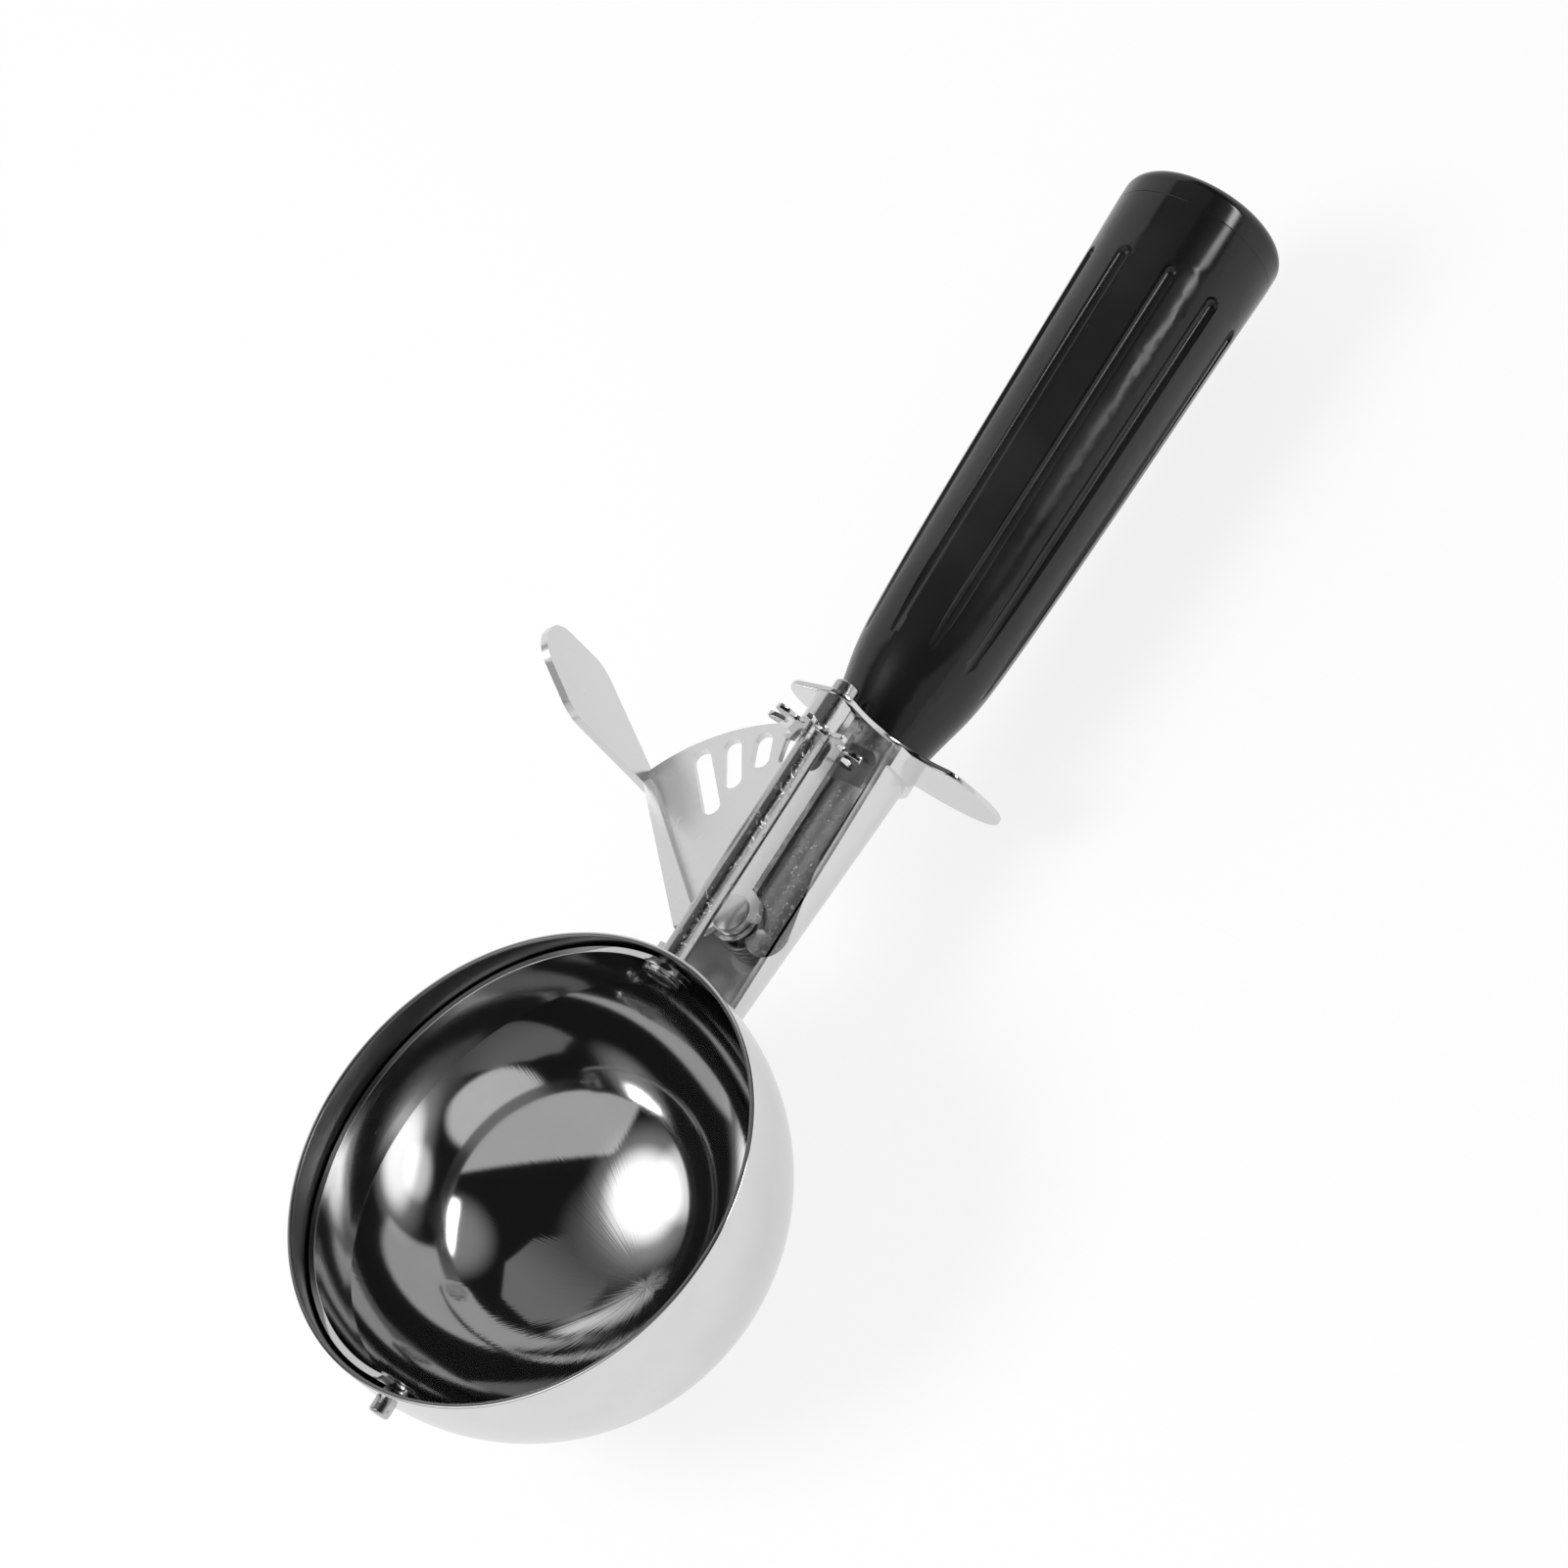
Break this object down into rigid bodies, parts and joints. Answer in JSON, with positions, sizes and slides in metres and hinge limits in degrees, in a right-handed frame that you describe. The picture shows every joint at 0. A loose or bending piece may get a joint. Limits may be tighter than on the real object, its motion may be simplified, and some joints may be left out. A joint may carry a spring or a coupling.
{
  "type": "lever ice cream scoop",
  "caption": "Ice cream scoop with a thumb lever that turns a scraper blade round the inside of its hemispherical bowl, and a grooved plastic grip.",
  "frame": {"origin": "centre of the bowl's rim circle, in the plane of the rim", "axes": "+Z out of the bowl's mouth, +X from the bowl along to the handle, +Y to the side the thumb lever stands on"},
  "size_m": [0.216, 0.0749, 0.0541],
  "materials": {
    "polished_steel": "mirror polished",
    "plated_steel": "bright plated, finely pitted",
    "spring_steel": "drawn wire",
    "grip_plastic": "semi-gloss moulded"
  },
  "bodies": {
    "base": {"bowl": "polished_steel", "shank": "polished_steel", "tang": "plated_steel", "guide_strip": "polished_steel", "guard_plate": "polished_steel", "handle_grip": "grip_plastic", "end_cap": "grip_plastic", "pivot_rivet": "polished_steel", "pivot_sleeve": "plated_steel", "pivot_washer": "plated_steel", "return_spring": "spring_steel"},
    "lever": {"thumb_lever": "polished_steel"},
    "blade": {"scraper_blade": "polished_steel", "tip_pin": "plated_steel", "tip_keeper": "plated_steel", "blade_shaft": "plated_steel", "shaft_keeper": "plated_steel", "star_pinion": "polished_steel", "pinion_hub": "plated_steel"}
  },
  "joints": [
    {"name": "thumb_lever_turn", "type": "hinge", "parent": "base", "child": "lever", "pos_m": [0.047, 0, -0.0105], "axis": [0, 0, -1], "range_deg": [0, 36], "stiffness_Nm_per_rad": 0.15, "springref_deg": -28.65, "deforming": ["return_spring"]},
    {"name": "blade_turn", "type": "hinge", "parent": "base", "child": "blade", "pos_m": [0, 0, -0.0046], "axis": [-1, 0, 0], "range_deg": [0, 162]}
  ],
  "couplings": [
    {"joint": "blade_turn", "follows": "thumb_lever_turn", "ratio": 4.5}
  ]
}
